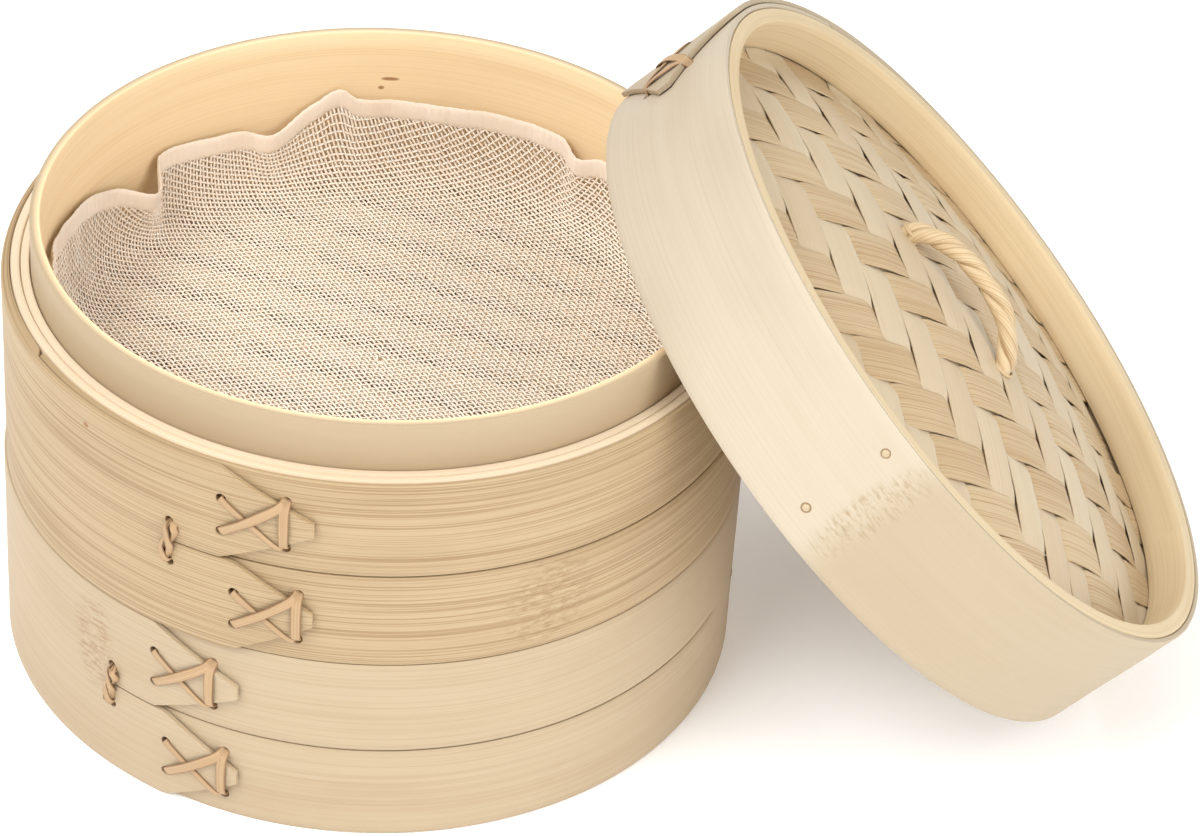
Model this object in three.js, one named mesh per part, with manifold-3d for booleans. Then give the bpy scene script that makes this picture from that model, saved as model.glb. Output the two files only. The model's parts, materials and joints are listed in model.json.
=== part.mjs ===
// Bamboo steamer basket: two stacking tiers with slatted floors, a gauze liner lying in
// the upper tier, and a woven lid that leans against the right-hand side of the stack.
// Millimetres, +Z up. The origin is the middle of the footprint of the whole arrangement,
// on the surface that it stands on. The stack's own axis is at x = STACK_X.

import * as THREE from 'three';
import { mergeVertices } from 'three/addons/utils/BufferGeometryUtils.js';
import Module from 'manifold-3d';

const wasm = await Module();
wasm.setup();

// ---- driving dimensions ----------------------------------------------------------------

const FIT = 0.3;                    // clearance between neighbouring pieces
const FACET = 6;                    // degrees between the sections of anything bent or turned
const PIN_SIDES = 8;                // sides of a peg, a thread or a small hole
const CLEAR = 2;                    // how far a cutter runs past what it cuts
const STACK_X = -64.7;              // the stack's axis

const HOOP_HEIGHT = 58.1;           // one tier, without its spigot
const SPIGOT_RISE = 13.7;           // inner wall standing above the ledge
const RECESS = 15;                  // room under the floor for the spigot of the tier below
const TIER_PITCH = HOOP_HEIGHT + FIT;

const WALL = { inner: 91.2, outer: 94 };
const FILLER = { inner: 94.3, outer: 96.6 };
const SPACER = { inner: 96.9, outer: 99.3 };
const HOOP_INNER = 99.6;
const STRIP = 1.5;                  // thickness of the bent outer strip
const SLIT = 0.5;                   // width of the saw cut that splits a strip's end

const LAP_START = -30;              // the strip's inner end, degrees before the slit root
const RAMP_START = -72;             // where the outer layer begins to climb over it
const RAMP_END = -32;
const SEAM_END = 108;               // how far round the split of the inner end runs
const TONGUE_TIP = 21.5;            // the outer end, degrees past the slit root
const TIP_HALF = 2;                 // half the height of a tongue's blunt tip

const HOLE_RADIUS = 1.5;            // lace holes
const THREAD_RADIUS = 1;            // a lace where it goes through a hole
const THREAD_DEPTH = 0.5;           // clear of the ring behind, at a thread's inner end
const LACE = { width: 2.4, thick: 0.8 };
const LACE_SPAN = 9.4;              // degrees between a lace's two pairs of holes
const LACE_LEFT = 5.2;              // half the height between the left pair of holes
const LACE_RIGHT = 7.4;             // and between the right pair
const LACE_INSET = 0.3;             // the left pair, degrees past the root of its tongue
const LACE_DROP = 0.5;              // the lace's middle, below the tongue's middle
// The tie at the slit root: half its length and width, its thickness, its two holes
// above and below the slit, and its place in degrees from the slit root.
const TIE = { half: 8.5, halfWidth: 3, thick: 1.6, hole: 6.2, azimuth: -0.5 };

const TOP_TONGUE_ROOT = 7.5;        // where a tongue starts to taper, degrees past the slit root
const BOTTOM_TONGUE_ROOT = 9.5;
const LOWER_TURN = -131;            // each tier's slit root, round the tier
const UPPER_TURN = -120;

const FLOOR_ANGLE = -22;            // direction of the floor slats
const BAR = { width: 8, height: 4.6, offset: 42, reach: 96.3 };
const SLAT = { count: 11, width: 10, pitch: 16, thick: 2.2, reach: 90.9 };
const SLAT_Z = RECESS + BAR.height + FIT;
const SLAT_TOP = SLAT_Z + SLAT.thick;
const SLAT_RING = { inner: 88.2, outer: 90.9, height: 6.6 };
const LINER = { radius: 87.9, thick: 1.3, top: 46.6, hem: 2.6, hemOver: 0.4, lift: 0.4 };

const PEG_RADIUS = 1.2;
const PEG_HOLE = 1.5;
const PEG_AZIMUTH = -9;
const PEG_SINK = 0.3;               // a peg's inner end, below the face that it holds
const LOWER_PEG_Z = 24;
const UPPER_PEG_Z = 27;

const LID_HEIGHT = 41.5;
const LID_TILT = 45.7;              // between the lid's axis and the vertical, degrees
const LID_REACH = 129.6;            // x of the middle of the lid's mouth, from the stack's axis
const LID_RING = { inner: 97.5, outer: 101.6, split: 28.4 };
const LID_HOOP_INNER = 101.9;
const LID_TURN = 150;               // the root of the lid's lap, round the lid
const LID_TONGUE_ROOT = 5;
const LID_LACE = 7.8;               // its left pair of holes, degrees past the root
const LID_PEGS = [
  { name: 'lid_peg_1', azimuth: -113, z: 35.2 },
  { name: 'lid_peg_2', azimuth: -113, z: 9.5 },
  { name: 'lid_peg_3', azimuth: 68, z: 35.2 },
];
const COVER = { edge: 101.3, bottom: 26.7, thick: 1.4, rise: 12.4, shoulder: 95, segments: 40 };
const HANDLE = { x: -3.5, y: 4.5, angle: -33.7, span: 45, arch: 10.5, radius: 2.6, sides: 10 };
const HANDLE_DEPTH = 4;             // how far its legs reach below the cover
const HANDLE_KNEE = 3.5;            // the height at which a leg begins to lean over
const STOP = { radius: 4.2, height: 2.4, sides: 12 };

// ---- colours ---------------------------------------------------------------------------

function finish(colour, roughness) {
  return () => new THREE.MeshStandardMaterial({ color: colour, roughness, metalness: 0 });
}

const BAMBOO_WARM = finish(0xdbc29c, 0.55);
const BAMBOO_PALE = finish(0xe4ceac, 0.6);
const BAMBOO_INNER = finish(0xeccb9a, 0.6);
const BAMBOO_CORE = finish(0xf4dfc0, 0.7);
const BAMBOO_SLAT = finish(0xd8bd92, 0.65);
const LACE_SKIN = finish(0xd4b28b, 0.6);
const WEAVE = finish(0xd9c3a4, 0.65);
const GAUZE = finish(0xe6d2bb, 0.9);

// ---- small tools -----------------------------------------------------------------------

function radians(degrees) {
  return THREE.MathUtils.degToRad(degrees);
}

function polar(radius, degrees, z) {
  const angle = radians(degrees);
  return new THREE.Vector3(radius * Math.cos(angle), radius * Math.sin(angle), z);
}

// A closed skin through a row of sections, each with its points in the same order.
function loft(sections) {
  const count = sections[0].length;
  const last = sections.length - 1;
  const index = [];
  for (let i = 0; i < last; i++) {
    for (let k = 0; k < count; k++) {
      const m = (k + 1) % count;
      const a = i * count;
      const b = a + count;
      index.push(a + k, b + k, b + m, a + k, b + m, a + m);
    }
  }
  for (let k = 1; k < count - 1; k++) {
    index.push(0, k, k + 1);
    index.push(last * count, last * count + k + 1, last * count + k);
  }
  const geometry = new THREE.BufferGeometry();
  geometry.setFromPoints(sections.flat());
  geometry.setIndex(index);
  return geometry;
}

function solid(geometry) {
  const bare = geometry.clone();
  bare.deleteAttribute('normal');
  bare.deleteAttribute('uv');
  const merged = mergeVertices(bare, 1e-5);
  const vertProperties = Float32Array.from(merged.attributes.position.array);
  const triVerts = Uint32Array.from(merged.index.array);
  return new wasm.Manifold(new wasm.Mesh({ numProp: 3, vertProperties, triVerts }));
}

function skin(manifold) {
  const mesh = manifold.getMesh();
  const geometry = new THREE.BufferGeometry();
  geometry.setAttribute('position', new THREE.BufferAttribute(mesh.vertProperties, 3));
  geometry.setIndex(new THREE.BufferAttribute(mesh.triVerts, 1));
  return geometry;
}

function join(geometries) {
  return skin(geometries.map(solid).reduce((sum, piece) => sum.add(piece)));
}

function cut(geometry, cutters) {
  return skin(cutters.map(solid).reduce((rest, cutter) => rest.subtract(cutter), solid(geometry)));
}

// A plain ring of rectangular section, turned about Z.
function ring(inner, outer, bottom, top) {
  const profile = [[inner, bottom], [outer, bottom], [outer, top], [inner, top], [inner, bottom]];
  return turned(profile, 360 / FACET);
}

function turned(profile, segments) {
  const geometry = new THREE.LatheGeometry(profile.map(([r, z]) => new THREE.Vector2(r, z)), segments);
  geometry.rotateX(Math.PI / 2);
  return geometry;
}

// A round pin pointing at the axis, between two radii.
function radialPin(radius, from, to, azimuth, z) {
  const geometry = new THREE.CylinderGeometry(radius, radius, to - from, PIN_SIDES);
  geometry.rotateZ(Math.PI / 2);
  geometry.translate((from + to) / 2, 0, z);
  geometry.rotateZ(radians(azimuth));
  return geometry;
}

function uprightPin(radius, bottom, top, sides) {
  const geometry = new THREE.CylinderGeometry(radius, radius, top - bottom, sides);
  geometry.rotateX(Math.PI / 2);
  geometry.translate(0, 0, (bottom + top) / 2);
  return geometry;
}

// A straight board through the tier, its ends trimmed to a circle about the axis.
function board(width, bottom, top, offset, reach, azimuth) {
  const geometry = new THREE.BoxGeometry(2 * (WALL.outer + CLEAR), width, top - bottom);
  geometry.translate(0, offset, (bottom + top) / 2);
  geometry.rotateZ(radians(azimuth));
  const round = uprightPin(reach, bottom - CLEAR, top + CLEAR, 360 / FACET);
  return skin(solid(geometry).intersect(solid(round)));
}

function named(name, geometry, material) {
  const mesh = new THREE.Mesh(geometry, material());
  mesh.name = name;
  return mesh;
}

// ---- the bent outer strips -------------------------------------------------------------

// Angles on the facet grid between two ends, with any extra ones that an outline needs.
function angleGrid(from, to, extra = []) {
  const grid = [from, to, ...extra];
  for (let a = Math.ceil(from / FACET) * FACET; a < to; a += FACET) grid.push(a);
  return [...new Set(grid)].sort((a, b) => a - b);
}

function bentStrip(angles, innerRadius, bottom, top) {
  return loft(angles.map((a) => {
    const inside = innerRadius(a);
    const outside = inside + STRIP;
    return [
      polar(inside, a, bottom(a)), polar(outside, a, bottom(a)),
      polar(outside, a, top(a)), polar(inside, a, top(a)),
    ];
  }));
}

// The strip's inner face: one full turn at the base radius, then over its own inner end.
function spiral(base) {
  const lift = STRIP + FIT;
  return (a) => {
    const along = (a - 360 - RAMP_START) / (RAMP_END - RAMP_START);
    return base + lift * THREE.MathUtils.clamp(along, 0, 1);
  };
}

// A tongue: the strip's outer end between two heights, tapering to a blunt tip.
function tongue(radiusAt, { bottom, top, root }) {
  const middle = (bottom + top) / 2;
  const taper = (edge, tip) => (a) => {
    const along = THREE.MathUtils.clamp((a - 360 - root) / (TONGUE_TIP - root), 0, 1);
    return THREE.MathUtils.lerp(edge, tip, along);
  };
  const angles = angleGrid(360 - FACET, 360 + TONGUE_TIP, [360 + root]);
  return bentStrip(angles, radiusAt, taper(bottom, middle - TIP_HALF), taper(top, middle + TIP_HALF));
}

// A whole strip: its inner end, the long plain part, and its outer end cut into tongues.
function lappedStrip(base, height, innerEnd, tongues) {
  const radiusAt = spiral(base);
  const flat = (z) => () => z;
  const starts = innerEnd.map(([bottom, top]) =>
    bentStrip(angleGrid(LAP_START, SEAM_END), radiusAt, flat(bottom), flat(top)));
  const plain = bentStrip(angleGrid(SEAM_END - FACET, 360), radiusAt, flat(0), flat(height));
  return join([plain, ...starts, ...tongues.map((shape) => tongue(radiusAt, shape))]);
}

// The four holes of one lace: the left pair goes through the tongue, the right pair
// through the layer beneath it, just clear of the tongue's edges.
function laceHoles(azimuth, middle) {
  return {
    leftTop: [azimuth, middle + LACE_LEFT],
    leftBottom: [azimuth, middle - LACE_LEFT],
    rightTop: [azimuth + LACE_SPAN, middle + LACE_RIGHT],
    rightBottom: [azimuth + LACE_SPAN, middle - LACE_RIGHT],
  };
}

// A flat ribbon over the strip's outer face, from one hole to another.
function ribbon([fromAngle, fromZ], [toAngle, toZ], radius) {
  const run = radians(toAngle - fromAngle) * radius;
  const rise = toZ - fromZ;
  const length = Math.hypot(run, rise);
  const over = LACE.width / 2 / length;
  const sideAngle = THREE.MathUtils.radToDeg(-rise / length * LACE.width / 2 / radius);
  const sideZ = run / length * LACE.width / 2;
  const steps = 3;
  const sections = [];
  for (let i = 0; i <= steps; i++) {
    const t = THREE.MathUtils.lerp(-over, 1 + over, i / steps);
    const a = THREE.MathUtils.lerp(fromAngle, toAngle, t);
    const z = THREE.MathUtils.lerp(fromZ, toZ, t);
    sections.push([
      polar(radius, a - sideAngle, z - sideZ), polar(radius + LACE.thick, a - sideAngle, z - sideZ),
      polar(radius + LACE.thick, a + sideAngle, z + sideZ), polar(radius, a + sideAngle, z + sideZ),
    ]);
  }
  return loft(sections);
}

function lace(holes, base) {
  const face = base + 2 * (STRIP + FIT);
  const threads = Object.values(holes).map(([a, z]) =>
    radialPin(THREAD_RADIUS, base + THREAD_DEPTH, face + LACE.thick / 2, a, z));
  const ribbons = [
    ribbon(holes.leftTop, holes.rightBottom, face),
    ribbon(holes.leftBottom, holes.rightTop, face),
    ribbon(holes.rightBottom, holes.rightTop, face),
  ];
  return join([...ribbons, ...threads]);
}

function holesThrough(points, base, radius) {
  return points.map(([a, z]) => radialPin(radius, base - CLEAR, base + 2 * (STRIP + FIT) + CLEAR, a, z));
}

// The oval binding that stops the slit from running on.
function slitTie(base, z) {
  const face = base + 2 * (STRIP + FIT);
  const outline = new THREE.Shape();
  outline.absellipse(0, 0, TIE.half, TIE.halfWidth, 0, 2 * Math.PI);
  const extrusion = { depth: TIE.thick, bevelEnabled: false, curveSegments: 10 };
  const pad = new THREE.ExtrudeGeometry(outline, extrusion);
  pad.rotateY(-Math.PI / 2);
  pad.rotateX(Math.PI);
  pad.translate(face + TIE.thick, 0, z);
  pad.rotateZ(radians(TIE.azimuth));
  const threads = [TIE.hole, -TIE.hole].map((dz) =>
    radialPin(THREAD_RADIUS, base + THREAD_DEPTH, face + TIE.thick / 2, TIE.azimuth, z + dz));
  return join([pad, ...threads]);
}

// ---- one tier --------------------------------------------------------------------------

function tierFloor(name) {
  const meshes = [];
  [-1, 1].forEach((side, i) => {
    const bar = board(BAR.width, RECESS, RECESS + BAR.height, side * BAR.offset, BAR.reach, FLOOR_ANGLE + 90);
    meshes.push(named(`${name}_bar_${i + 1}`, bar, BAMBOO_SLAT));
  });
  for (let i = 0; i < SLAT.count; i++) {
    const offset = (i - (SLAT.count - 1) / 2) * SLAT.pitch;
    const slat = board(SLAT.width, SLAT_Z, SLAT_TOP, offset, SLAT.reach, FLOOR_ANGLE);
    meshes.push(named(`${name}_slat_${i + 1}`, slat, BAMBOO_SLAT));
  }
  const ringBottom = SLAT_TOP + FIT;
  const clamp = ring(SLAT_RING.inner, SLAT_RING.outer, ringBottom, ringBottom + SLAT_RING.height);
  meshes.push(named(`${name}_slat_ring`, clamp, BAMBOO_INNER));
  return meshes;
}

// The slots that the two floor bars sit in.
function barSlots() {
  return [-1, 1].map((side) => {
    const slot = new THREE.BoxGeometry(2 * FILLER.outer, BAR.width + 2 * FIT, BAR.height + 2 * FIT);
    slot.translate(0, side * BAR.offset, RECESS + BAR.height / 2);
    slot.rotateZ(radians(FLOOR_ANGLE + 90));
    return slot;
  });
}

function tier(name, turn, pegZ, material) {
  const middle = HOOP_HEIGHT / 2;
  const pegHole = radialPin(PEG_HOLE, WALL.inner - CLEAR, HOOP_INNER + STRIP + CLEAR, PEG_AZIMUTH, pegZ);
  const tongues = [
    { bottom: middle + SLIT / 2, top: HOOP_HEIGHT, root: TOP_TONGUE_ROOT },
    { bottom: 0, top: middle - SLIT / 2, root: BOTTOM_TONGUE_ROOT },
  ];
  const laces = tongues.map(({ bottom, top, root }) =>
    laceHoles(root + LACE_INSET, (bottom + top) / 2 - LACE_DROP));
  const tiePoints = [[TIE.azimuth, middle + TIE.hole], [TIE.azimuth, middle - TIE.hole]];

  const innerEnd = [[0, middle - SLIT / 2], [middle + SLIT / 2, HOOP_HEIGHT]];
  const strip = cut(lappedStrip(HOOP_INNER, HOOP_HEIGHT, innerEnd, tongues), [
    ...laces.flatMap((holes) => holesThrough(Object.values(holes), HOOP_INNER, HOLE_RADIUS)),
    ...holesThrough(tiePoints, HOOP_INNER, THREAD_RADIUS + FIT),
  ]);
  strip.rotateZ(radians(turn));
  const turnedLaces = laces.map((holes) => lace(holes, HOOP_INNER).rotateZ(radians(turn)));
  const tie = slitTie(HOOP_INNER, middle).rotateZ(radians(turn));

  const wallTop = HOOP_HEIGHT + SPIGOT_RISE;
  const wall = ring(WALL.inner, WALL.outer, RECESS, wallTop);
  const filler = ring(FILLER.inner, FILLER.outer, 0, HOOP_HEIGHT);
  const spacer = ring(SPACER.inner, SPACER.outer, 0, HOOP_HEIGHT);
  const peg = radialPin(PEG_RADIUS, WALL.inner + PEG_SINK, HOOP_INNER + STRIP, PEG_AZIMUTH, pegZ);

  return [
    named(`${name}_inner_wall`, cut(wall, [pegHole, ...barSlots()]), BAMBOO_INNER),
    named(`${name}_filler_ring`, cut(filler, [pegHole, ...barSlots()]), BAMBOO_CORE),
    named(`${name}_spacer_ring`, cut(spacer, [pegHole]), BAMBOO_CORE),
    named(`${name}_hoop`, cut(strip, [pegHole]), material),
    named(`${name}_lace_top`, turnedLaces[0], LACE_SKIN),
    named(`${name}_lace_bottom`, turnedLaces[1], LACE_SKIN),
    named(`${name}_slit_tie`, tie, LACE_SKIN),
    named(`${name}_peg`, peg, BAMBOO_SLAT),
    ...tierFloor(name),
  ];
}

// ---- the gauze liner -------------------------------------------------------------------

function liner() {
  const bottom = SLAT_TOP + LINER.lift;
  const inside = LINER.radius - LINER.thick;
  const dish = turned([
    [0, bottom], [LINER.radius, bottom], [LINER.radius, LINER.top],
    [inside, LINER.top], [inside, bottom + LINER.thick], [0, bottom + LINER.thick],
  ], 360 / FACET);
  const hemBottom = LINER.top + FIT;
  const hem = ring(inside - LINER.hemOver, LINER.radius + LINER.hemOver, hemBottom, hemBottom + LINER.hem);
  return [named('gauze_liner', dish, GAUZE), named('liner_hem', hem, GAUZE)];
}

// ---- the lid, built about its own axis with its mouth at z = 0 -------------------------

function coverHeight(radius) {
  const inward = 1 - Math.min(radius / COVER.shoulder, 1) ** 2;
  return COVER.bottom + COVER.rise * inward;
}

function handleFeet() {
  return [-1, 1].map((side) => {
    const foot = polar(HANDLE.span / 2 * side, HANDLE.angle, 0);
    return foot.add(new THREE.Vector3(HANDLE.x, HANDLE.y, 0));
  });
}

// The woven panel as one thin dome, pierced by the two legs of the handle.
function wovenCover() {
  const radii = [0, 0.32, 0.6, 0.82, 1].map((share) => share * COVER.shoulder).concat(COVER.edge);
  const under = radii.map((r) => [r, coverHeight(r)]);
  const over = radii.map((r) => [r, coverHeight(r) + COVER.thick]).reverse();
  const dome = turned([...under, ...over], COVER.segments);
  const legs = handleFeet().map((foot) => {
    const hole = uprightPin(HANDLE.radius + FIT, COVER.bottom, LID_HEIGHT + CLEAR, HANDLE.sides);
    hole.translate(foot.x, foot.y, 0);
    return hole;
  });
  return cut(dome, legs);
}

// A rope staple: two legs through the cover, each with a stop under it, and a low arch.
function handle() {
  const [start, end] = handleFeet();
  const surface = coverHeight(HANDLE.span / 2) + COVER.thick;
  const under = coverHeight(HANDLE.span / 2) - HANDLE_DEPTH;
  const crown = surface + HANDLE.arch;
  const along = (t, z) => new THREE.Vector3(
    THREE.MathUtils.lerp(start.x, end.x, t), THREE.MathUtils.lerp(start.y, end.y, t), z);
  const route = new THREE.CatmullRomCurve3([
    along(0, under), along(0, surface), along(0.03, surface + HANDLE_KNEE),
    along(0.2, crown - 1), along(0.5, crown), along(0.8, crown - 1),
    along(0.97, surface + HANDLE_KNEE), along(1, surface), along(1, under),
  ]);
  const section = new THREE.Shape();
  section.absarc(0, 0, HANDLE.radius, 0, 2 * Math.PI);
  const rope = new THREE.ExtrudeGeometry(section, { steps: 20, extrudePath: route, curveSegments: 4 });
  const stops = [start, end].map((foot) => {
    const stop = uprightPin(STOP.radius, under - STOP.height / 2, under + STOP.height / 2, STOP.sides);
    return stop.translate(foot.x, foot.y, 0);
  });
  return join([rope, ...stops]);
}

function lid() {
  const pegHoles = LID_PEGS.map(({ azimuth, z }) =>
    radialPin(PEG_HOLE, LID_RING.inner - CLEAR, LID_HOOP_INNER + STRIP + CLEAR, azimuth, z));
  const holes = laceHoles(LID_LACE, LID_HEIGHT / 2);
  const shape = { bottom: 0, top: LID_HEIGHT, root: LID_TONGUE_ROOT };
  const strip = cut(
    lappedStrip(LID_HOOP_INNER, LID_HEIGHT, [[0, LID_HEIGHT]], [shape]),
    holesThrough(Object.values(holes), LID_HOOP_INNER, HOLE_RADIUS));
  strip.rotateZ(radians(LID_TURN));
  const topRing = ring(LID_RING.inner, LID_RING.outer, LID_RING.split, LID_HEIGHT);
  const bottomRing = ring(LID_RING.inner, LID_RING.outer, 0, COVER.bottom - FIT);

  const group = new THREE.Group();
  group.add(
    named('lid_hoop', cut(strip, pegHoles), BAMBOO_PALE),
    named('lid_top_ring', cut(topRing, pegHoles), BAMBOO_INNER),
    named('lid_bottom_ring', cut(bottomRing, pegHoles), BAMBOO_INNER),
    named('woven_cover', wovenCover(), WEAVE),
    named('lid_handle', handle(), LACE_SKIN),
    named('lid_lace', lace(holes, LID_HOOP_INNER).rotateZ(radians(LID_TURN)), LACE_SKIN),
    ...LID_PEGS.map(({ name, azimuth, z }) => named(name,
      radialPin(PEG_RADIUS, LID_RING.inner + PEG_SINK, LID_HOOP_INNER + STRIP, azimuth, z), BAMBOO_SLAT)),
  );
  return group;
}

// ---- assembly --------------------------------------------------------------------------

const group = new THREE.Group();

const lowerTier = new THREE.Group();
lowerTier.add(...tier('lower', LOWER_TURN, LOWER_PEG_Z, BAMBOO_PALE));
lowerTier.position.set(STACK_X, 0, 0);

const upperTier = new THREE.Group();
upperTier.add(...tier('upper', UPPER_TURN, UPPER_PEG_Z, BAMBOO_WARM));
upperTier.position.set(STACK_X, 0, TIER_PITCH);

const linerGroup = new THREE.Group();
linerGroup.add(...liner());
linerGroup.position.set(STACK_X, 0, TIER_PITCH);

// The lid stands on the lowest point of its mouth, its axis tilted towards +X.
const lidGroup = lid();
const mouthRadius = LID_HOOP_INNER + STRIP;
const mouthHeight = mouthRadius * Math.sin(radians(LID_TILT)) + FIT;
lidGroup.rotation.y = radians(LID_TILT);
lidGroup.position.set(STACK_X + LID_REACH, 0, mouthHeight);

group.add(lowerTier, upperTier, linerGroup, lidGroup);

export default group;
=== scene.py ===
"""Bamboo steamer basket: the looks of two stacking tiers, a gauze liner and a woven lid.

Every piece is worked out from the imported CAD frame, in metres. Turned pieces are built in
their own frame, with Z along their axis and the origin in the middle of their lower end.
"""

import json
import math
import random
from types import SimpleNamespace

import bpy
import numpy as np
from mathutils import Matrix, Vector, noise


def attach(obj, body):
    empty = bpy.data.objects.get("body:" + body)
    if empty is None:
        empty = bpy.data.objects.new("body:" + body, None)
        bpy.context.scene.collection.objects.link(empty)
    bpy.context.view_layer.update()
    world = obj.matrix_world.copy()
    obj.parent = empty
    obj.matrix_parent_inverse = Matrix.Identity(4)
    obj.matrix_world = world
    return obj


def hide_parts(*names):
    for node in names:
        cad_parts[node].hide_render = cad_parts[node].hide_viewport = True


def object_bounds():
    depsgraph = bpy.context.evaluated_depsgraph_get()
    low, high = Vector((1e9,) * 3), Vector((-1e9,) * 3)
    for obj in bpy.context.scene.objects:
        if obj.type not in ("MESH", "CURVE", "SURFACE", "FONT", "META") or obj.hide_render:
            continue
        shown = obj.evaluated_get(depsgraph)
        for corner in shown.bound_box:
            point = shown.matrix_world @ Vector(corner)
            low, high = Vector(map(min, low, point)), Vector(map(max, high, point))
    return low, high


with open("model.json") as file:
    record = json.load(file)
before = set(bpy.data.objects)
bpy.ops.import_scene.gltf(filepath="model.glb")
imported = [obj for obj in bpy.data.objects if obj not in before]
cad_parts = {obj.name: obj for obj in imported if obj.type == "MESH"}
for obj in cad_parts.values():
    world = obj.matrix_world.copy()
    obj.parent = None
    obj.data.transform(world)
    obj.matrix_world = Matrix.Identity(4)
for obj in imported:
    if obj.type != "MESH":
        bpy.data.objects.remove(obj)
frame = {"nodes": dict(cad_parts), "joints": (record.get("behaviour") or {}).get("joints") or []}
cad_low, cad_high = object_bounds()

MM = 0.001
UP = Vector((0, 0, 1))
NODES = frame["nodes"]

# ---- sizes that the frame doesn't give

STRIP = 1.5 * MM  # thickness of a bent outer strip
FIT = 0.3 * MM  # clearance between neighbouring pieces
LAYER = STRIP + FIT  # how much one layer of strip adds to a radius
BEVEL = 0.35 * MM  # how far an edge is rounded
SLIT = 0.5 * MM  # width of the saw cut that splits a strip's end
TIP_HALF = 2 * MM  # half the height of a tongue's tip

# Places round a bent strip, in degrees from the root of its slit.
LAP_START = -30  # the strip's inner end
RAMP_START, RAMP_END = -72, -32  # where the outer layer climbs over the inner end
SEAM_END = 108  # how far the split of the inner end runs
TONGUE_TIP = 21.5  # the outer end
TOP_ROOT, BOTTOM_ROOT, LID_ROOT = 7.5, 9.5, 5.0  # where each tongue starts to taper

# Places round a piece, in degrees from X.
LOWER_TURN, UPPER_TURN, LID_TURN = -131, -120, 150  # the root of each strip's slit
FLOOR_ANGLE = -22  # the way the slats of the floor run

LACE_HOLE, TIE_HOLE = 1.45 * MM, 1.3 * MM  # radii of the holes
LACE_SPAN = 9.4  # from a lace's left holes to its right ones, in degrees
LACE_LEFT, LACE_RIGHT = 5.2 * MM, 7.4 * MM  # from its middle to its holes
TIE_REACH = 6.6 * MM  # from the slit to a tie's holes
TIE_AZIMUTH = -0.5  # a tie's place, in degrees from the slit's root
PEG_RADIUS = 1.5 * MM


# ---- frames and sections

def points_of(node, place):
    """A CAD node's points in the frame `place`, one in each row."""
    back = place.inverted()
    return np.array([back @ v.co for v in NODES[node].data.vertices])


def own_frame(node, axis):
    """The matrix whose Z is a turned node's axis, with its origin in the middle of its lower end."""
    z = Vector(axis).normalized()
    y = Vector((0, 1, 0))
    turn = Matrix((y.cross(z), y, z)).transposed().to_4x4()
    local = points_of(node, turn)
    low = local.min(0)
    middle = (low + local.max(0)) / 2
    return turn @ Matrix.Translation((middle[0], middle[1], low[2]))


def section(node, place):
    """Inner and outer radius, bottom and top of a turned node in the frame `place`."""
    x, y, z = points_of(node, place).T
    radii = np.hypot(x, y)
    return SimpleNamespace(inner=radii.min(), outer=radii.max(), bottom=z.min(), top=z.max())


LOWER = own_frame("lower_spacer_ring", UP)
UPPER = own_frame("upper_spacer_ring", UP)
LID = own_frame("lid_bottom_ring", next(j["axis"] for j in frame["joints"] if j["name"] == "lid_lift_off"))
# Each tier: its frame, the turn of its strip, the strip's bamboo and a seed.
TIERS = {"lower": (LOWER, LOWER_TURN, "pale", 11), "upper": (UPPER, UPPER_TURN, "warm", 21)}


# ---- small mathematics

def polar(radius, degrees, z):
    angle = math.radians(degrees)
    return Vector((radius * math.cos(angle), radius * math.sin(angle), z))


def clamp(value, low=0.0, high=1.0):
    return max(low, min(high, value))


def smooth(value):
    t = clamp(value)
    return t * t * (3 - 2 * t)


def lerp(a, b, t):
    return a + (b - a) * t


def between(p0, p1, p2, p3, t):
    """A smooth curve from p1 to p2 that heads the way its neighbours lie."""
    return 0.5 * (2 * p1 + (p2 - p0) * t + (2 * p0 - 5 * p1 + 4 * p2 - p3) * t ** 2
                  + (3 * p1 - p0 - 3 * p2 + p3) * t ** 3)


def smooth_line(points, steps):
    """A smooth line through points, with `steps` places between each two."""
    ends = [points[0] * 2 - points[1]] + points + [points[-1] * 2 - points[-2]]
    line = [between(*ends[i - 1:i + 3], k / steps) for i in range(1, len(ends) - 2) for k in range(steps)]
    return line + [points[-1]]


def heading(path, k):
    """The way a path runs at its place k."""
    return path[min(k + 1, len(path) - 1)] - path[max(k - 1, 0)]


def turns(count):
    """Angles once round, in radians."""
    return np.linspace(0, 2 * math.pi, count, endpoint=False)


def disc(azimuth, reach, radius, z, count):
    """A circle that faces away from the axis, at a height and a distance from it."""
    out = polar(1, azimuth, 0)
    aside = UP.cross(out)
    return [out * reach + aside * radius * math.cos(a) + UP * (z + radius * math.sin(a))
            for a in turns(count)]


def wobble(x, y, seed):
    """A smooth value from about -1 to 1 that changes slowly with x and y."""
    return noise.noise(Vector((x, y, seed * 7.31)))


def round_wobble(degrees, waves, seed, shift_x=0.0, shift_y=0.0):
    """A wobble that meets itself after a full turn. More waves make it change faster."""
    spot = polar(waves, degrees, 0)
    return wobble(spot.x + shift_x, spot.y + shift_y, seed)


# ---- meshes

class Shape:
    """Points and faces, with each face corner's place along and across the grain, in metres, and
    each point's tone, from 0 to 1."""

    def __init__(self):
        self.points, self.faces, self.grain, self.tones = [], [], [], []

    def add(self, points, faces, grain, tone):
        """tone is one number, or one for each point."""
        start = len(self.points)
        self.points += points
        self.faces += [[start + k for k in face] for face in faces]
        self.grain += grain
        self.tones += tone if isinstance(tone, list) else [tone] * len(points)
        return self


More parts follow.
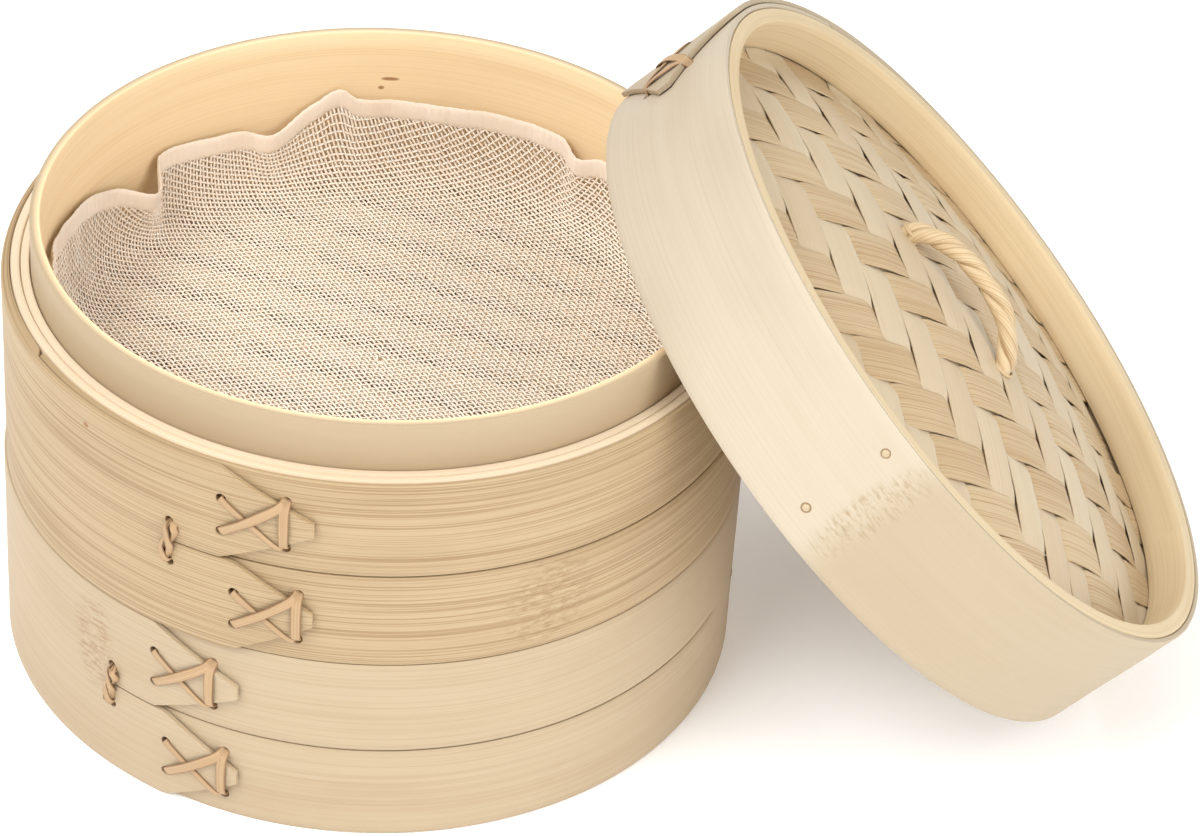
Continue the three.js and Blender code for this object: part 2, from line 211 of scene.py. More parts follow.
def thick_grid(along, rows, outer, inner, present=lambda i, j: True, closed=False, tone=(0, 0)):
    """A curved board over a grid of columns and rows, closed on all sides.

    along holds each column's place along the grain; outer(i, j) and inner(i, j) give points, and
    tone is the tone of each of those two faces.
    """
    count = len(along) - 1 if closed else len(along)
    columns = range(len(along) - 1)
    cells = dict.fromkeys((i, j) for i in columns for j in range(rows - 1) if present(i, j))
    ids, points, tones = {}, [], []
    faces, grain = [], []

    def wrap(i):
        return i % count if closed else i

    def corner(i, j, side):
        key = (wrap(i), j, side)
        if key not in ids:
            ids[key] = len(points)
            points.append((inner if side else outer)(wrap(i), j))
            tones.append(tone[side])
        return ids[key]

    def face(*corners):
        faces.append([corner(*c) for c in corners])
        is_edge = len({side for _, _, side in corners}) > 1
        grain.append([(along[i], outer(wrap(i), j).z + (STRIP if is_edge and side else 0))
                      for i, j, side in corners])

    for i, j in cells:
        a, b, c, d = (i, j), (i + 1, j), (i + 1, j + 1), (i, j + 1)
        face((*a, 0), (*b, 0), (*c, 0), (*d, 0))
        face((*a, 1), (*d, 1), (*c, 1), (*b, 1))
        sides = ((i, j - 1, b, a), (i, j + 1, d, c), (i - 1, j, a, d), (i + 1, j, c, b))
        for column, row, start, end in sides:
            if (wrap(column), row) not in cells:
                face((*start, 0), (*end, 0), (*end, 1), (*start, 1))
    return Shape().add(points, faces, grain, tones)


def sweep(shape, sections, closed=False, tone=0.5, start=0.0, side=0.0):
    """A tube through a row of sections, each with its points in the same order.

    tone may also be a list with one number for each point of a section, or for each section.
    start and side shift the grain, so that strips of one piece don't all look the same.
    """
    count = len(sections[0])
    last = len(sections) - 1
    middle = sections[last // 2]
    along, across = [start], [side]
    for a, b in zip(sections, sections[1:] + sections[:1]):
        along.append(along[-1] + (a[0] - b[0]).length)
    for a, b in zip(middle, middle[1:] + middle[:1]):
        across.append(across[-1] + (a - b).length)
    faces, grain = [], []
    for i in range(last + 1 if closed else last):
        n = (i + 1) % len(sections)
        for k in range(count):
            m = (k + 1) % count
            faces.append([i * count + k, i * count + m, n * count + m, n * count + k])
            grain.append([(along[i], across[k]), (along[i], across[k + 1]),
                          (along[i + 1], across[k + 1]), (along[i + 1], across[k])])
    if not closed:
        for i, order in ((0, range(count - 1, -1, -1)), (last, range(count))):
            faces.append([i * count + k for k in order])
            grain.append([(along[i], across[k]) for k in order])
    if isinstance(tone, list):
        tone = tone * len(sections) if len(tone) == count else [t for t in tone for _ in range(count)]
    return shape.add([p for s in sections for p in s], faces, grain, tone)


def lens(width, thick, crown=0.0, steps=4):
    """The section of a flat strip with thin edges, as places across and above its middle."""
    rows = []
    for k in range(steps + 1):
        x = -math.cos(math.pi * k / steps)
        rim = 0.55 if k in (0, steps) else 1
        rows.append((x * width / 2, thick / 2 * rim, crown * (1 - x * x)))
    top = [(x, arch + half) for x, half, arch in rows]
    return top + [(x, arch - half) for x, half, arch in reversed(rows)]


def edge_shade_tones(outline):
    """Tones for a strip's outline, with its two edges darker than its flats: painted shade along the
    edges.
    """
    rim = max(a for a, _ in outline)
    return [1 if abs(a) > 0.99 * rim else 0.15 for a, _ in outline]


def oval(width, height, count):
    """The section of a round strand, as places across and above its middle."""
    return [(-width / 2 * math.cos(a), height / 2 * math.sin(a)) for a in turns(count)]


def ribbon(path, normals, outlines):
    """Sections of a strip along a path. Each outline lies across the path and along its normal."""
    sections = []
    for k, point in enumerate(path):
        normal = normals[k].normalized()
        side = normal.cross(heading(path, k)).normalized()
        sections.append([point + side * -a + normal * b for a, b in outlines[k]])
    return sections


def put(name, data):
    """A new object in the scene."""
    made = bpy.data.objects.new(name, data)
    bpy.context.scene.collection.objects.link(made)
    return made


def bare_mesh(name, shape, place):
    mesh = bpy.data.meshes.new(name)
    mesh.from_pydata([place @ p for p in shape.points], [], shape.faces)
    return mesh


def make(name, shape, kind, body, node, place, crease=40):
    """One mesh piece in the row frame, with its finish, riding on a body and standing for a CAD node."""
    material, slot = FINISHES[kind]
    mesh = bare_mesh(name, shape, place)
    grain = mesh.uv_layers.new(name="grain")
    grain.data.foreach_set("uv", np.array([c for f in shape.grain for c in f], np.float32).ravel())
    tone = mesh.attributes.new("tone", "FLOAT", "POINT")
    tone.data.foreach_set("value", np.array(shape.tones, np.float32))
    mesh.validate()
    mesh.polygons.foreach_set("use_smooth", [True] * len(mesh.polygons))
    mesh.set_sharp_from_angle(angle=math.radians(crease))
    mesh.materials.append(material)
    piece = put(name, mesh)
    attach(piece, body)
    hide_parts(node)
    return piece


def drill(piece, strip, holes):
    """Cuts round holes through a bent strip: each is a radius, an azimuth and a height."""
    place, base, _ = strip
    cutter = Shape()
    for radius, azimuth, z in holes:
        sweep(cutter, [disc(azimuth, reach, radius, z, 14) for reach in (base - MM, base + 3 * LAYER)])
    tool = put("cutter", bare_mesh("cutter", cutter, place))
    cut = piece.modifiers.new("holes", "BOOLEAN")
    cut.operation, cut.solver, cut.object = "DIFFERENCE", "EXACT", tool
    bpy.context.view_layer.update()
    drilled = bpy.data.meshes.new_from_object(piece.evaluated_get(bpy.context.evaluated_depsgraph_get()))
    drilled.name = piece.name
    piece.modifiers.clear()
    piece.data = drilled
    bpy.data.objects.remove(tool)


# ---- materials

def linear(red, green, blue):
    """A colour given as screen values, from 11 to 255."""
    return tuple(((v / 255 + 0.055) / 1.055) ** 2.4 for v in (red, green, blue)) + (1,)


class Nodes:
    """A material's node tree, with short calls for the nodes that it uses."""

    def __init__(self, name):
        self.material = bpy.data.materials.new(name)
        self.material.use_nodes = True
        self.tree = self.material.node_tree
        self.shader = self.tree.nodes["Principled BSDF"]

    def fill(self, node, values):
        """Fills a node's inputs, in order or by name: links what is a socket, and sets the rest."""
        for key, value in values.items() if isinstance(values, dict) else enumerate(values):
            if isinstance(value, bpy.types.NodeSocket):
                self.tree.links.new(value, node.inputs[key])
            else:
                node.inputs[key].default_value = value

    def add(self, kind, values=(), **settings):
        node = self.tree.nodes.new(kind)
        for key, value in settings.items():
            setattr(node, key, value)
        self.fill(node, values)
        return node

    def maths(self, operation, *values):
        return self.add("ShaderNodeMath", values, operation=operation).outputs[0]

    def times(self, a, b):
        return self.maths("MULTIPLY", a, b)

    def plus(self, a, b):
        return self.maths("ADD", a, b)

    def grain(self, over_floor=False):
        """Places along and across the grain: the mesh's own, or those of the floor's slats."""
        if over_floor:
            spot = self.add("ShaderNodeTexCoord").outputs["Object"]
            turn = (0, 0, math.radians(-FLOOR_ANGLE))
            where = self.add("ShaderNodeMapping", {"Vector": spot, "Rotation": turn})
        else:
            where = self.add("ShaderNodeUVMap", uv_map="grain")
        split = self.add("ShaderNodeSeparateXYZ", [where.outputs[0]])
        return split.outputs[0], split.outputs[1]

    def marks(self, u, v, pitch, seed=0.0, detail=2.0, roughness=0.5):
        """Noise that changes pitch[0] times a metre along the grain, and pitch[1] times across it."""
        where = self.add("ShaderNodeCombineXYZ", (self.times(u, pitch[0]), self.times(v, pitch[1]), seed))
        values = {"Vector": where.outputs[0], "Scale": 1.0, "Detail": detail, "Roughness": roughness}
        return self.add("ShaderNodeTexNoise", values).outputs["Fac"]

    def span(self, *values):
        """Brings a value from between two limits to between two others, smoothly."""
        return self.add("ShaderNodeMapRange", values, interpolation_type="SMOOTHSTEP").outputs[0]

    def oval_distance(self, u, v, cu, cv, du, dv):
        """The square of a place's distance from an oval's middle, 1 at its edge."""
        shares = [self.maths("DIVIDE", self.maths("SUBTRACT", at, middle), half)
                  for at, middle, half in ((u, cu, du), (v, cv, dv))]
        return self.plus(*(self.times(share, share) for share in shares))

    def mix(self, share, a, b):
        values = {"Factor": share, "A": a, "B": b}
        return self.add("ShaderNodeMix", values, data_type="RGBA").outputs["Result"]

    def bump(self, height, distance, strength):
        values = {"Height": height, "Distance": distance, "Strength": strength}
        return self.add("ShaderNodeBump", values).outputs[0]

    def finish(self, colour, roughness, normal, specular=0.35):
        self.fill(self.shader, {"Base Color": colour, "Roughness": roughness, "Normal": normal,
                                "Specular IOR Level": specular})
        return self.material


# How often the marks of bamboo come, in times a metre along the grain and across it.
FIBRES, LINES, BANDS, BLOTCHES = (26, 2600), (6, 2300), (3, 300), (14, 45)
RAGGED_EDGE, TICKS, CHIPS = (60, 500), (260, 1000), (350, 800)
SCAR = linear(150, 104, 62)


def bamboo(name, base, dark, light, seed, lines=0.4, depth=1.0, patches=(), spots=(), tone=0.0,
           shade=None, over_floor=False):
    """Split bamboo: fibre lines along the grain, finer fibres between them and soft blotches.

    patches (centre, half sizes, force, shade beyond) have the ticked grain of a node of the stem, and
    the strip past a patch is painted darker by its shade beyond, as painted shade; spots (centre, half
    sizes) are dark flaws. The mesh's own tones lead to the shade, or the dark: painted shade on the outer
    face of a tier's wall, along the edges of laces and ties and round the rims of pegs, and a random tone
    on each woven strip.
    """
    base, dark, light = (linear(*colour) for colour in (base, dark, light))
    n = Nodes(name)
    u, v = n.grain(over_floor)
    fibre = n.marks(u, v, FIBRES, seed, detail=3, roughness=0.6)
    line = n.marks(u, v, LINES, seed + 3, detail=1, roughness=0.6)
    band = n.marks(u, v, BANDS, seed + 6)
    blotch = n.marks(u, v, BLOTCHES, seed + 9, detail=3)
    colour = base
    for mark, low, high, share, towards in (
            (band, 0.3, 0.7, 0.3, light), (blotch, 0.45, 0.75, 0.22, dark),
            (line, 0.48, 0.64, lines, dark), (fibre, 0.52, 0.78, 0.3 * depth, dark)):
        colour = n.mix(n.span(mark, low, high, 0, share), colour, towards)
    # The mesh's tones paint shade on a wall's outer face, along lace and tie edges and round peg rims, and
    # a random tone on the woven strips.
    if tone:
        level = n.add("ShaderNodeAttribute", attribute_name="tone").outputs["Fac"]
        colour = n.mix(n.span(level, 0, 1, 0, tone), colour, linear(*shade) if shade else dark)
    for cu, cv, du, dv in spots:
        flaw = n.span(n.oval_distance(u, v, cu, cv, du, dv), 0.3, 1.0, 0.85, 0.0)
        colour = n.mix(flaw, colour, SCAR)
    height = n.plus(n.times(fibre, 0.5), n.times(line, 0.7))
    for cu, cv, du, dv, force, shade_beyond in patches:
        edge = n.marks(u, v, RAGGED_EDGE, seed + 12, detail=3)
        reach = n.plus(n.oval_distance(u, v, cu, cv, du, dv), n.times(edge, 0.9))
        inside = n.span(reach, 0.7, 1.35, 1.0, 0.0)
        ticks = n.marks(u, v, TICKS, seed + 15, detail=3, roughness=0.7)
        chips = n.marks(u, v, CHIPS, seed + 18)
        for mark, low, high, share, towards in (
                (ticks, 0.46, 0.62, force, dark), (ticks, 0.6, 0.74, force * 0.4, SCAR),
                (chips, 0.56, 0.7, 0.6, light)):
            colour = n.mix(n.times(n.span(mark, low, high, 0, share), inside), colour, towards)
        height = n.plus(height, n.times(n.times(ticks, inside), 2.5))
        # Past the patch the strip is painted darker by shade_beyond: painted shade, on the lid's lower
        # side.
        colour = n.mix(n.span(u, cu - du, cu + du, 0.0, shade_beyond), colour, dark)
    rough = n.plus(n.times(fibre, 0.25), 0.42)
    return n.finish(colour, rough, n.bump(height, 0.12 * MM * depth, 0.55))


def weave_cloth(name, base, dark, pitch, depth):
    """Cotton: a fine plain weave over the cloth's own grain, in bumps and in painted shade. Its pitch and
    its depth are in mm.
    """
    base, dark = linear(*base), linear(*dark)
    n = Nodes(name)
    u, v = n.grain()
    yarn = n.times(*(n.maths("SINE", n.times(way, 2 * math.pi / (pitch * MM))) for way in (u, v)))
    fuzz = n.marks(u, v, (1800, 1800), detail=3)
    cloud = n.marks(u, v, (60, 60), 4)
    colour = n.mix(n.span(cloud, 0.35, 0.7, 0, 0.5), base, dark)
    # Every other cell of the weave is painted darker: painted shade of the yarns passing over and under.
    colour = n.mix(n.span(yarn, -1, 0.2, 0.25, 0), colour, dark)
    colour = n.mix(n.times(fuzz, 0.2), colour, dark)
    n.fill(n.shader, {"Subsurface Weight": 0.35, "Subsurface Radius": (1, 1, 1),
                      "Subsurface Scale": 0.4 * MM, "Sheen Weight": 0.25, "Sheen Roughness": 0.5})
    return n.finish(colour, 0.85, n.bump(n.plus(yarn, fuzz), depth * MM, 0.6), specular=0.2)


def on_strip(azimuth, turn, z, base, half_along, half_high):
    """An oval at an azimuth of the body, in the grain coordinates of a strip that starts at `turn`."""
    return math.radians((azimuth - turn) % 360) * base, z * MM, half_along * MM, half_high * MM


def finishes():
    """Every finish on the basket: its material, and the record's slot that it stands for."""
    hoop_base = section("lower_hoop", LOWER).inner
    lid_base = section("lid_hoop", LID).inner
    wall_face = section("upper_inner_wall", UPPER).outer
    upper_patch = (*on_strip(-63, UPPER_TURN, 15, hoop_base, 16, 17), 0.5, 0)
    lower_patch = (*on_strip(-135.5, LOWER_TURN, 40, hoop_base, 9, 18), 0.9, 0)
    # The lid's 0.6 paints its strip darker past the patch, as painted shade on the lid's lower side.
    lid_patch = (*on_strip(-107, LID_TURN, 22, lid_base, 7, 24), 0.8, 0.6)
    hoop_flaws = [on_strip(-136.3, UPPER_TURN, 51.8, hoop_base, 1.1, 1)]
    wall_flaws = [on_strip(90, 0, 56.4, wall_face, 3.2, 0.7), on_strip(91.6, 0, 53.4, wall_face, 1.1, 0.7)]
    # Each kind of bamboo: its slot, its colour, its darker fibres, its paler streaks and its seed. The
    # darker colour is also the painted shade that shade beyond, and a tone without a shade colour, lead
    # to.
    kinds = {
        "warm": ("bamboo_warm", (180, 156, 121), (138, 108, 70), (188, 166, 132), 1,
            dict(lines=0.6, depth=1.5, patches=[upper_patch], spots=hoop_flaws)),
        "pale": ("bamboo_pale", (183, 163, 134), (160, 132, 99), (189, 172, 145), 2,
            dict(lines=0.28, depth=0.8, patches=[lower_patch])),
        "lid": ("bamboo_pale", (192, 178, 156), (166, 147, 117), (198, 186, 166), 3,
            dict(lines=0.14, depth=0.5, patches=[lid_patch])),
        # The shade colour is painted shade on the outer face of each tier's wall.
        "inner": ("bamboo_inner", (240, 214, 172), (218, 182, 132), (246, 226, 189), 4,
            dict(lines=0.25, depth=0.7, tone=1.0, shade=(176, 155, 125), spots=wall_flaws)),
        "sawn": ("bamboo_core", (224, 206, 178), (198, 168, 130), (232, 218, 194), 5, dict(lines=0.35)),
        "lid_inner": ("bamboo_inner", (208, 187, 150), (186, 155, 110), (216, 199, 166), 13,
            dict(lines=0.25, depth=0.7)),
        # The tone paints shade along the edges of the laces' and ties' strands.
        "lace": ("bamboo_skin_strip", (184, 153, 116), (118, 82, 48), (196, 168, 132), 6,
            dict(lines=0.18, depth=0.8, tone=0.7)),
        "smooth_weave": ("bamboo_weave", (199, 182, 153), (178, 148, 110), (207, 192, 166), 7,
            dict(lines=0.2, depth=0.6, tone=0.25)),
        "ribbed_weave": ("bamboo_weave", (197, 174, 138), (158, 122, 80), (206, 188, 154), 8,
            dict(lines=0.6, depth=2.0, tone=0.2)),
        "twisted": ("twisted_strip", (204, 182, 145), (162, 124, 80), (216, 198, 165), 9,
            dict(lines=0.6, depth=1.6)),
        # The tone paints shade round each peg's rim.
        "peg": ("bamboo_slat", (196, 178, 146), (128, 98, 64), (206, 190, 160), 10,
            dict(depth=1.5, tone=0.75)),
        "slat": ("bamboo_slat", (248, 230, 198), (216, 182, 138), (252, 238, 212), 12,
            dict(depth=1.4, over_floor=True)),
    }
    made = {kind: (bamboo(f"{kind}_bamboo", *colours, seed, **traits), slot)
            for kind, (slot, *colours, seed, traits) in kinds.items()}
    made["thread"] = weave_cloth("cotton_thread", (255, 241, 225), (246, 219, 192), 0.3, 0.02), "gauze"
    made["hem"] = weave_cloth("cotton_hem", (248, 234, 217), (236, 215, 192), 0.42, 0.09), "hem_tape"
    return made


# ---- turned rings

def soft_rows(bottom, top, count):
    """Heights from bottom to top, with a short row at each end for the rounded edge."""
    inside = [lerp(bottom + BEVEL, top - BEVEL, k / (count - 1)) for k in range(count)]
    return [bottom] + inside + [top]


def ring(name, node, kind, body, place, count=5, swell=0.0, seed=1, tone=(0, 0)):
    """A turned CAD ring with rounded edges, and a slight waviness in its faces."""
    size = section(node, place)
    heights = soft_rows(size.bottom, size.top, count)
    step = 2
    along = [math.radians(degrees) * size.outer for degrees in range(0, 360 + step, step)]

    def face(radius, sign):
        def point(i, j):
            ripple = swell * round_wobble(i * step, 2, seed, heights[j] * 30)
            rounding = 0.8 * BEVEL if j in (0, len(heights) - 1) else 0
            return polar(radius - sign * (rounding + abs(ripple)), i * step, heights[j])
        return point

    shape = thick_grid(along, len(heights), face(size.outer, 1), face(size.inner, -1), closed=True,
                       tone=tone)
    return make(name, shape, kind, body, node, place)


# ---- the bent outer strips

def spiral(base, start, end):
    """A radius that climbs by one layer between two angles, where a strip laps over its inner end."""
    def radius(angle):
        return base + LAYER * smooth((angle - 360 - start) / (end - start))
    return radius


def hoop(name, node, kind, body, place, turn, tongues, seed):
    """A bent strip: its inner end, a full turn, and its outer end cut to tapered tongues.

    tongues are the bottom, top and root of each tongue. With two of them the inner end is sawn
    through as well. Gives the piece, and its frame, inner radius and body for its laces.
    """
    size = section(node, place)
    outer_at = spiral(size.inner, RAMP_START, RAMP_END)
    inner_at = spiral(size.inner, RAMP_END, LAP_START)
    middle = (size.top - size.bottom) / 2
    step = 1.5
    angles = [LAP_START + step * k for k in range(int((360 - LAP_START) / step))]
    angles += list(np.linspace(360, 360 + TONGUE_TIP, 18))
    sawn = len(tongues) > 1
    rows = [z for bottom, top, _ in tongues for z in soft_rows(bottom, top, 13 if sawn else 24)]
    gap = len(rows) // 2 - 1 if sawn else None

    def shut(i):
        """Whether the strip is whole across the slit between columns i and i + 1."""
        return SEAM_END <= angles[i] < 360

    def whole(i):
        return sawn and shut(min(i, len(angles) - 2)) and shut(max(i - 1, 0))

    def level(i, j):
        """The height of a point: the slit closes where the strip is whole, and a tongue tapers."""
        if whole(i) and j in (gap, gap + 1):
            return middle + (SLIT / 8 if j > gap else -SLIT / 8)
        bottom, top, root = tongues[j * len(tongues) // len(rows)]
        t = clamp((angles[i] - 360 - root) / (TONGUE_TIP - root))
        centre = (bottom + top) / 2
        share = (rows[j] - bottom) / (top - bottom)
        return lerp(lerp(bottom, centre - TIP_HALF, t), lerp(top, centre + TIP_HALF, t), share)

    def rounding(i, j):
        ends = {0, len(rows) - 1}
        if sawn and not whole(i):
            ends |= {gap, gap + 1}
        return 0.7 * BEVEL if j in ends or i == len(angles) - 1 else 0.0

    def face(radius_at, offset, sign):
        def point(i, j):
            angle, z = angles[i], level(i, j)
            ripple = 0.12 * MM * round_wobble(angle, 3, seed, z * 60, z * 25)
            lift = 0.25 * MM * smooth((angle - 360) / TONGUE_TIP) if sign > 0 else 0
            return polar(radius_at(angle) + offset + ripple + lift - sign * rounding(i, j), angle, z)
        return point

    along = [math.radians(a) * size.inner for a in angles]
    shape = thick_grid(along, len(rows), face(outer_at, STRIP, 1), face(inner_at, 0, -1),
                       present=lambda i, j: j != gap or shut(i))
    here = place @ Matrix.Translation((0, 0, size.bottom)) @ Matrix.Rotation(math.radians(turn), 4, "Z")
    return make(name, shape, kind, body, node, here), (here, size.inner, body)


# ---- laces, ties and pegs

def lace_holes(azimuth, middle):
    """The four holes of a lace: azimuth, height and whether the hole goes through the tongue."""
    return {f"{side}_{level}": (azimuth + turn, middle + sign * reach, side == "left")
            for side, turn, reach in (("left", 0, LACE_LEFT), ("right", LACE_SPAN, LACE_RIGHT))
            for level, sign in (("top", 1), ("bottom", -1))}


def lace_rise(base, face, through_tongue):
    """How a strand comes out of a hole: places along its way, and their radii."""
    if through_tongue:
        return [(0, base + 0.6 * MM), (0.05 * MM, face - 1.1 * MM), (0.9 * MM, face)]
    return [(0, base + 0.2 * MM), (0.5 * MM, base + 1.5 * MM), (2.1 * MM, face)]


def lace_strand(shape, base, start, end, lift, widths, seed):
    """A shaved strip that rises out of one hole, lies over the tongue and dives into another."""
    face = base + 2 * LAYER + 0.15 * MM
    length = math.hypot(math.radians(end[0] - start[0]) * face, end[1] - start[1])
    knots = [Vector((s / length, r, 0)) for s, r in lace_rise(base, face, start[2])]
    knots.append(Vector((0.5, face + lift * MM, 0)))
    knots += [Vector((1 - s / length, r, 0)) for s, r in reversed(lace_rise(base, face, end[2]))]
    across = polar(face, end[0], end[1]) - polar(face, start[0], start[1])
    line = [(clamp(knot.x), knot.y) for knot in smooth_line(knots, 6)]
    path = [polar(r, lerp(start[0], end[0], t), lerp(start[1], end[1], t)) for t, r in line]
    normals, outlines = [], []
    for k, (t, _) in enumerate(line):
        side = polar(1, lerp(start[0], end[0], t), 0).cross(across)
        tilt = 0.3 * wobble(t * 2.5, seed, 5) * math.sin(math.pi * t)
        normals.append(heading(path, k).cross(side).normalized() + side.normalized() * tilt)
        wide = lerp(*widths, t) * MM * (1 + 0.1 * wobble(t * 3, seed, 9))
        outlines.append(lens(wide, 0.45 * MM, 0.04 * MM))
    sweep(shape, ribbon(path, normals, outlines), tone=edge_shade_tones(outlines[-1]), side=seed * 0.013)


def lace(name, node, strip, holes, seed):
    """A cross of two strands and an upright one: lift over the face and two widths each, in mm."""
    here, base, body = strip
    shape = Shape()
    strands = (("left_top", "right_bottom", 0.1, (2.2, 1.4)),
               ("left_bottom", "right_top", 0.8, (2.5, 2.9)),
               ("right_bottom", "right_top", 0.5, (2.5, 2.8)))
    for k, (start, end, lift, widths) in enumerate(strands):
        lace_strand(shape, base, holes[start], holes[end], lift, widths, seed + k)
    return make(name, shape, "lace", body, node, here)


def slit_tie(name, node, strip, middle, seed):
    """Three shaved strands twisted round each other, from a hole above the slit to one below."""
    here, base, body = strip
    face = base + 2 * LAYER
    half = TIE_REACH + 0.8 * MM
    outline = lens(1.9 * MM, 0.5 * MM, 0.06 * MM)
    shape = Shape()
    strands, steps = 3, 40
    for strand in range(strands):
        path, normals = [], []
        for k in range(steps + 1):
            t = k / steps
            dive = smooth(min(t, 1 - t) / 0.16)
            turn = 2 * math.pi * (0.95 * t + strand / strands) + 0.9 * wobble(t * 3, strand, seed)
            swing = lerp(0.3, 1.35, dive) * MM
            radius = lerp(base + 1.2 * MM, face + 0.8 * MM + 0.5 * swing * math.cos(turn), dive)
            sideways = swing * math.sin(turn) + 0.9 * MM * math.sin(2 * math.pi * t)
            azimuth = TIE_AZIMUTH + math.degrees(sideways / face)
            path.append(polar(radius, azimuth, middle + lerp(half, -half, t)))
            out = polar(1, azimuth, 0)
            normals.append(out * math.cos(turn * 0.5) + UP.cross(out) * math.sin(turn * 0.5))
        sections = ribbon(path, normals, [outline] * len(path))
        sweep(shape, sections, tone=edge_shade_tones(outline), side=strand * 0.011)
    return make(name, shape, "lace", body, node, here)


def peg(name, node, place, lining, strip, proud):
    """A round bamboo peg through the ring `lining` and the strip, a little proud of the strip."""
    _, base, body = strip
    x, y, z = points_of(node, place).mean(0)
    inner, outer = section(lining, place).inner + FIT, base + STRIP + proud
    chamfer = 0.2 * MM
    azimuth = math.degrees(math.atan2(y, x))
    # A distance from the axis, a radius and a tone each: a rim painted dark, as painted shade where the
    # peg meets its hole, and a domed end.
    stations = [(inner, PEG_RADIUS - chamfer, 0.2), (inner + chamfer, PEG_RADIUS, 1),
                (outer - chamfer, PEG_RADIUS, 1), (outer, PEG_RADIUS - chamfer, 1),
                (outer - chamfer / 2, PEG_RADIUS * 0.72, 0.9),
                (outer + chamfer / 2, PEG_RADIUS * 0.58, 0.1), (outer + chamfer, PEG_RADIUS * 0.2, 0.2)]
    sections = [disc(azimuth, reach, radius, z, 20) for reach, radius, _ in stations]
    shape = sweep(Shape(), sections, tone=[tone for _, _, tone in stations])
    return make(name, shape, "peg", body, node, place)


# ---- one tier

def tier(name):
    body = f"{name}_tier"
    place, turn, kind, seed = TIERS[name]
    size = section(f"{name}_spacer_ring", place)
    height = size.top - size.bottom
    middle = height / 2
    tongues = [(0, middle - SLIT / 2, BOTTOM_ROOT), (middle + SLIT / 2, height, TOP_ROOT)]
    piece, strip = hoop(f"{name}_bent_strip", f"{name}_hoop", kind, body, place, turn, tongues, seed)
    laces = {part: lace_holes(root + 0.3, (bottom + top) / 2 - 0.5 * MM)
             for part, (bottom, top, root) in zip(("bottom", "top"), tongues)}
    holes = [(LACE_HOLE, a, z) for part in laces.values() for a, z, _ in part.values()]
    holes += [(TIE_HOLE, TIE_AZIMUTH, middle + sign * TIE_REACH) for sign in (1, -1)]
    drill(piece, strip, holes)
    for part, points in laces.items():
        lace(f"{name}_{part}_lacing", f"{name}_lace_{part}", strip, points, seed * 10 + len(part))
    slit_tie(f"{name}_split_binding", f"{name}_slit_tie", strip, middle, seed)

    # The wall's outer face, with tone 1, is painted in the shade colour as painted shade.
    ring(f"{name}_wall", f"{name}_inner_wall", "inner", body, place,
         count=12, swell=0.12 * MM, seed=seed + 1, tone=(1, 0))
    for part, node, kind in (("filler", "filler_ring", "sawn"), ("spacer", "spacer_ring", "sawn"),
                             ("slat_keeper", "slat_ring", "inner")):
        ring(f"{name}_{part}", f"{name}_{node}", kind, body, place)
    peg(f"{name}_bamboo_peg", f"{name}_peg", place, f"{name}_inner_wall", strip, 0.1 * MM)


def carried_floor():
    """The bars and slats keep their CAD meshes, with softened edges."""
    for node, piece in NODES.items():
        if "_slat_" in node and not node.endswith("ring") or "_bar_" in node:
            piece.data.materials.clear()
            piece.data.materials.append(FINISHES["slat"][0])
            soften = piece.modifiers.new("soft_edges", "BEVEL")
            soften.width, soften.segments, soften.limit_method = BEVEL, 2, "ANGLE"


# ---- the lid

SMOOTH_AT, RIBBED_AT = 110, 30  # the way each family of strips runs, in degrees
SMOOTH_STEP, RIBBED_STEP = 11.8 * MM, 13.3 * MM  # from each strip to the next, along the others
WEAVE_ANCHOR = Vector((-35 * MM, -27.6 * MM, 0))  # the middle of one smooth float
WEAVE_THICK = 0.5 * MM  # thickness of a woven strip
WEAVE_LIFT = 0.5 * MM  # how far a strip rises or sinks at a crossing
WEAVE_COUNT = 14  # strips on each side of the anchor


def cover_height():
    """The middle height of the woven dome over the lid's mouth at any radius, and its own radius."""
    size = section("woven_cover", LID)
    thick = 1.4 * MM
    shoulder = section("lid_top_ring", LID).inner - 2.5 * MM
    bottom, top = size.bottom + thick / 2, size.top - thick / 2

    def height(radius):
        return bottom + (top - bottom) * (1 - min(radius / shoulder, 1) ** 2)
    return height, size.outer - 1.4 * MM


def float_height(s, side_at, step):
    """How high a strip lies at s, from -1 to 1, by the side it takes at the crossings around s."""
    low = math.floor(s / step)
    t = s / step - low
    a, b = side_at(low), side_at(low + 1)
    if a == b:
        return a * (1 + 0.35 * math.sin(math.pi * t))
    return lerp(a, b, smooth((t - 0.2) / 0.6))


